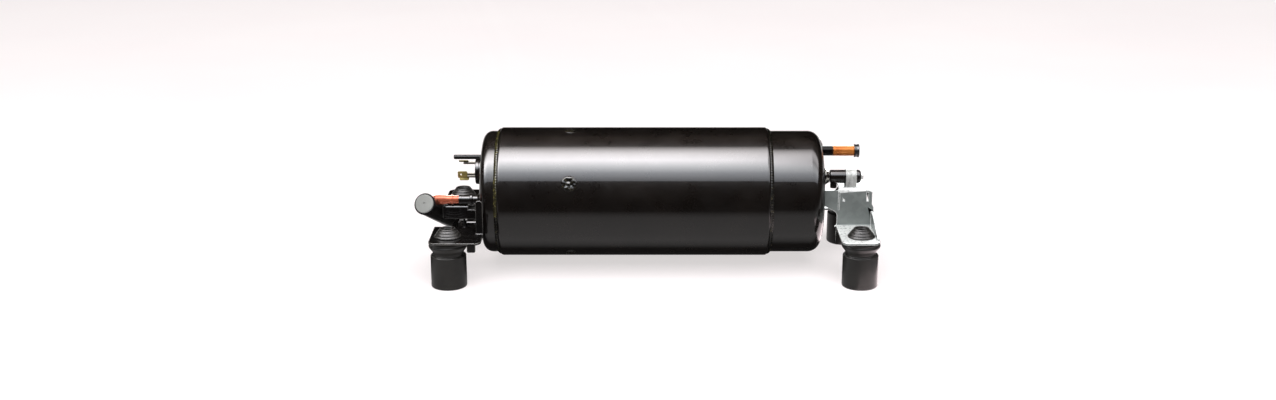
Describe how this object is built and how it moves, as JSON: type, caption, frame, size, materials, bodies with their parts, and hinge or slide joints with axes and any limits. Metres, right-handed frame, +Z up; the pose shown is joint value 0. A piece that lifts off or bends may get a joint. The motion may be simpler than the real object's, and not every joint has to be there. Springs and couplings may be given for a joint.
{
  "type": "horizontal rotary compressor",
  "caption": "Horizontal hermetic rolling-piston refrigeration compressor with welded shell, copper discharge tube, suction accumulator, two brackets and four rubber feet.",
  "frame": {"origin": "centre of the four feet on the surface that they stand on", "axes": "+X along the shell axis towards the discharge end, +Z up, -Y the side that carries the suction line"},
  "size_m": [0.4134, 0.172, 0.1283],
  "materials": {
    "black_gloss_paint": "gloss",
    "painted_weld": "gloss",
    "black_satin_paint": "satin",
    "black_bracket_paint": "gloss",
    "terminal_steel": "satin",
    "pin_steel": "satin",
    "sealing_glass": "gloss",
    "tab_brass": "satin",
    "nickel_steel": "polished",
    "copper": "satin",
    "grey_rubber": "matte",
    "black_rubber": "satin",
    "foot_rubber": "matte",
    "zinc_bright": "bright",
    "zinc_plate": "satin",
    "grey_iron": "machined",
    "dark_steel": "black oxide",
    "hard_steel": "ground",
    "ground_steel": "ground",
    "spring_steel": "bright",
    "bare_sheet": "bare",
    "lamination_steel": "stacked sheet",
    "magnet": "matte",
    "cast_end_ring": "bare",
    "balance_brass": "machined",
    "enamelled_copper": "enamel",
    "connector_plastic": "matte",
    "lead_insulation": "matte"
  },
  "bodies": {
    "housing": {"accumulator_saddle": "black_bracket_paint", "discharge_boss": "black_gloss_paint", "discharge_end_bracket": "zinc_plate", "discharge_end_cap": "black_gloss_paint", "discharge_far_foot": "foot_rubber", "discharge_near_foot": "foot_rubber", "discharge_reed": "spring_steel", "discharge_tube": "copper", "inner_suction_pipe": "bare_sheet", "lead_connector": "connector_plastic", "main_bearing": "grey_iron", "motor_leads": "lead_insulation", "muffler_cover": "bare_sheet", "oil_cover": "bare_sheet", "oil_pickup_pipe": "copper", "plug_welds": "painted_weld", "process_collar": "black_satin_paint", "process_nib": "nickel_steel", "process_tube": "black_satin_paint", "pump_bolts": "dark_steel", "pump_cylinder": "grey_iron", "saddle_nut": "zinc_bright", "saddle_stud": "zinc_bright", "seam_welds": "painted_weld", "shell_barrel": "black_gloss_paint", "stator_core": "lamination_steel", "stator_windings": "enamelled_copper", "strap_screw": "zinc_bright", "sub_bearing": "grey_iron", "suction_accumulator": "black_satin_paint", "suction_collar": "nickel_steel", "suction_elbow": "copper", "suction_stub": "black_gloss_paint", "terminal_body": "terminal_steel", "terminal_cover_stud": "black_satin_paint", "terminal_end_bracket": "black_bracket_paint", "terminal_end_cap": "black_gloss_paint", "terminal_far_foot": "foot_rubber", "terminal_glass_seals": "sealing_glass", "terminal_near_foot": "foot_rubber", "terminal_pins": "pin_steel", "terminal_tabs": "tab_brass", "tube_strap": "zinc_bright", "valve_rivet": "hard_steel", "valve_stop": "hard_steel", "vane": "hard_steel", "vane_spring": "spring_steel"},
    "rotor": {"crankshaft": "ground_steel", "rotor_core": "lamination_steel", "rotor_magnets": "magnet", "rotor_end_plates": "cast_end_ring", "rotor_rivets": "hard_steel", "balance_weight_pump": "balance_brass", "balance_weight_far": "balance_brass"},
    "rolling_piston": {"roller": "hard_steel"},
    "discharge_cap_plug": {"discharge_plug": "black_rubber"},
    "suction_cap_plug": {"suction_plug": "grey_rubber"}
  },
  "joints": [
    {"name": "shaft_turn", "type": "hinge", "parent": "housing", "child": "rotor", "pos_m": [-0.0755, 0, 0.0685], "axis": [1, 0, 0], "continuous": true},
    {"name": "roller_turn", "type": "hinge", "parent": "rotor", "child": "rolling_piston", "pos_m": [-0.0755, -0.00374, 0.06659], "axis": [1, 0, 0], "continuous": true},
    {"name": "discharge_plug_pull", "type": "slide", "parent": "housing", "child": "discharge_cap_plug", "axis": [1, 0, 0], "range_m": [0, 0.012]},
    {"name": "suction_plug_pull", "type": "slide", "parent": "housing", "child": "suction_cap_plug", "axis": [-0.2379, -0.8636, 0.4446], "range_m": [0, 0.012]}
  ]
}
